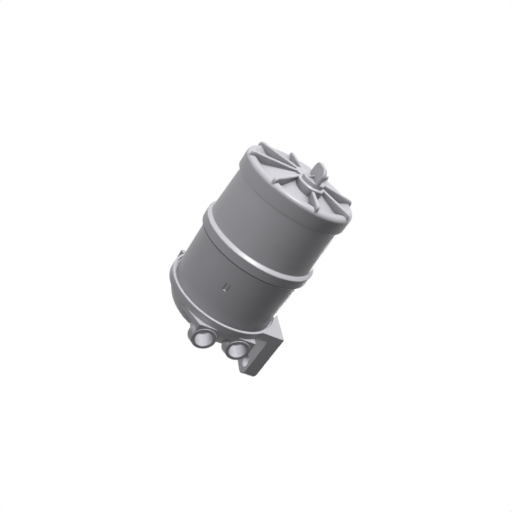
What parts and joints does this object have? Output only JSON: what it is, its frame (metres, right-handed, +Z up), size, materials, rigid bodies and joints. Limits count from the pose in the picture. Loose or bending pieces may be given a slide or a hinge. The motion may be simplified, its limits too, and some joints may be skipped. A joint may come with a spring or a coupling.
{
  "type": "fuel filter assembly",
  "caption": "Screw-together fuel filter and water separator: ported head with a bracket, can with a pleated element, and a finned bowl with a wing drain plug.",
  "frame": {"origin": "midway between the two bolt holes, on the bracket's mounting face", "axes": "+Y out of the bracket's mounting face, +Z up along the filter's axis with the head on top, -X the way the two ports face"},
  "size_m": [0.1046, 0.1059, 0.1983],
  "materials": {
    "cast_alloy": "as cast, satin",
    "can_alloy": "die cast, satin",
    "moulded_nylon": "fine moulded grain",
    "plug_nylon": "fine moulded grain",
    "seal_rubber": "matt",
    "plated_steel": "zinc plated",
    "spring_steel": "drawn wire",
    "filter_paper": "resin-treated paper"
  },
  "bodies": {
    "filter_body": {"head": "cast_alloy", "can": "can_alloy", "can_seal": "seal_rubber", "nipple": "plated_steel", "nipple_washer": "plated_steel", "element_grommet": "seal_rubber", "element_top_cap": "plated_steel", "element_media": "filter_paper", "element_core": "plated_steel", "element_bottom_cap": "plated_steel", "element_spring": "spring_steel", "baffle": "plated_steel", "baffle_ring": "spring_steel"},
    "bowl": {"bowl": "moulded_nylon"},
    "bowl_seal": {"bowl_seal": "seal_rubber"},
    "drain_plug": {"drain_plug": "plug_nylon", "drain_clip": "spring_steel"},
    "drain_seal": {"drain_seal": "seal_rubber"}
  },
  "joints": [
    {"name": "bowl_travel", "type": "slide", "parent": "filter_body", "child": "bowl_seal", "axis": [0, 0, -1], "range_m": [0, 0.006]},
    {"name": "bowl_turn", "type": "hinge", "parent": "bowl_seal", "child": "bowl", "pos_m": [0, -0.0536, -0.132], "axis": [0, 0, -1], "range_deg": [0, 540]},
    {"name": "drain_travel", "type": "slide", "parent": "bowl", "child": "drain_seal", "axis": [0, 0, -1], "range_m": [0, 0.004]},
    {"name": "drain_turn", "type": "hinge", "parent": "drain_seal", "child": "drain_plug", "pos_m": [-0.0169, -0.0536, -0.172], "axis": [0, 0, -1], "range_deg": [0, 720]}
  ],
  "couplings": [
    {"joint": "bowl_turn", "follows": "bowl_travel", "rad_per_m": 1570.8},
    {"joint": "drain_turn", "follows": "drain_travel", "rad_per_m": 3141.6}
  ]
}
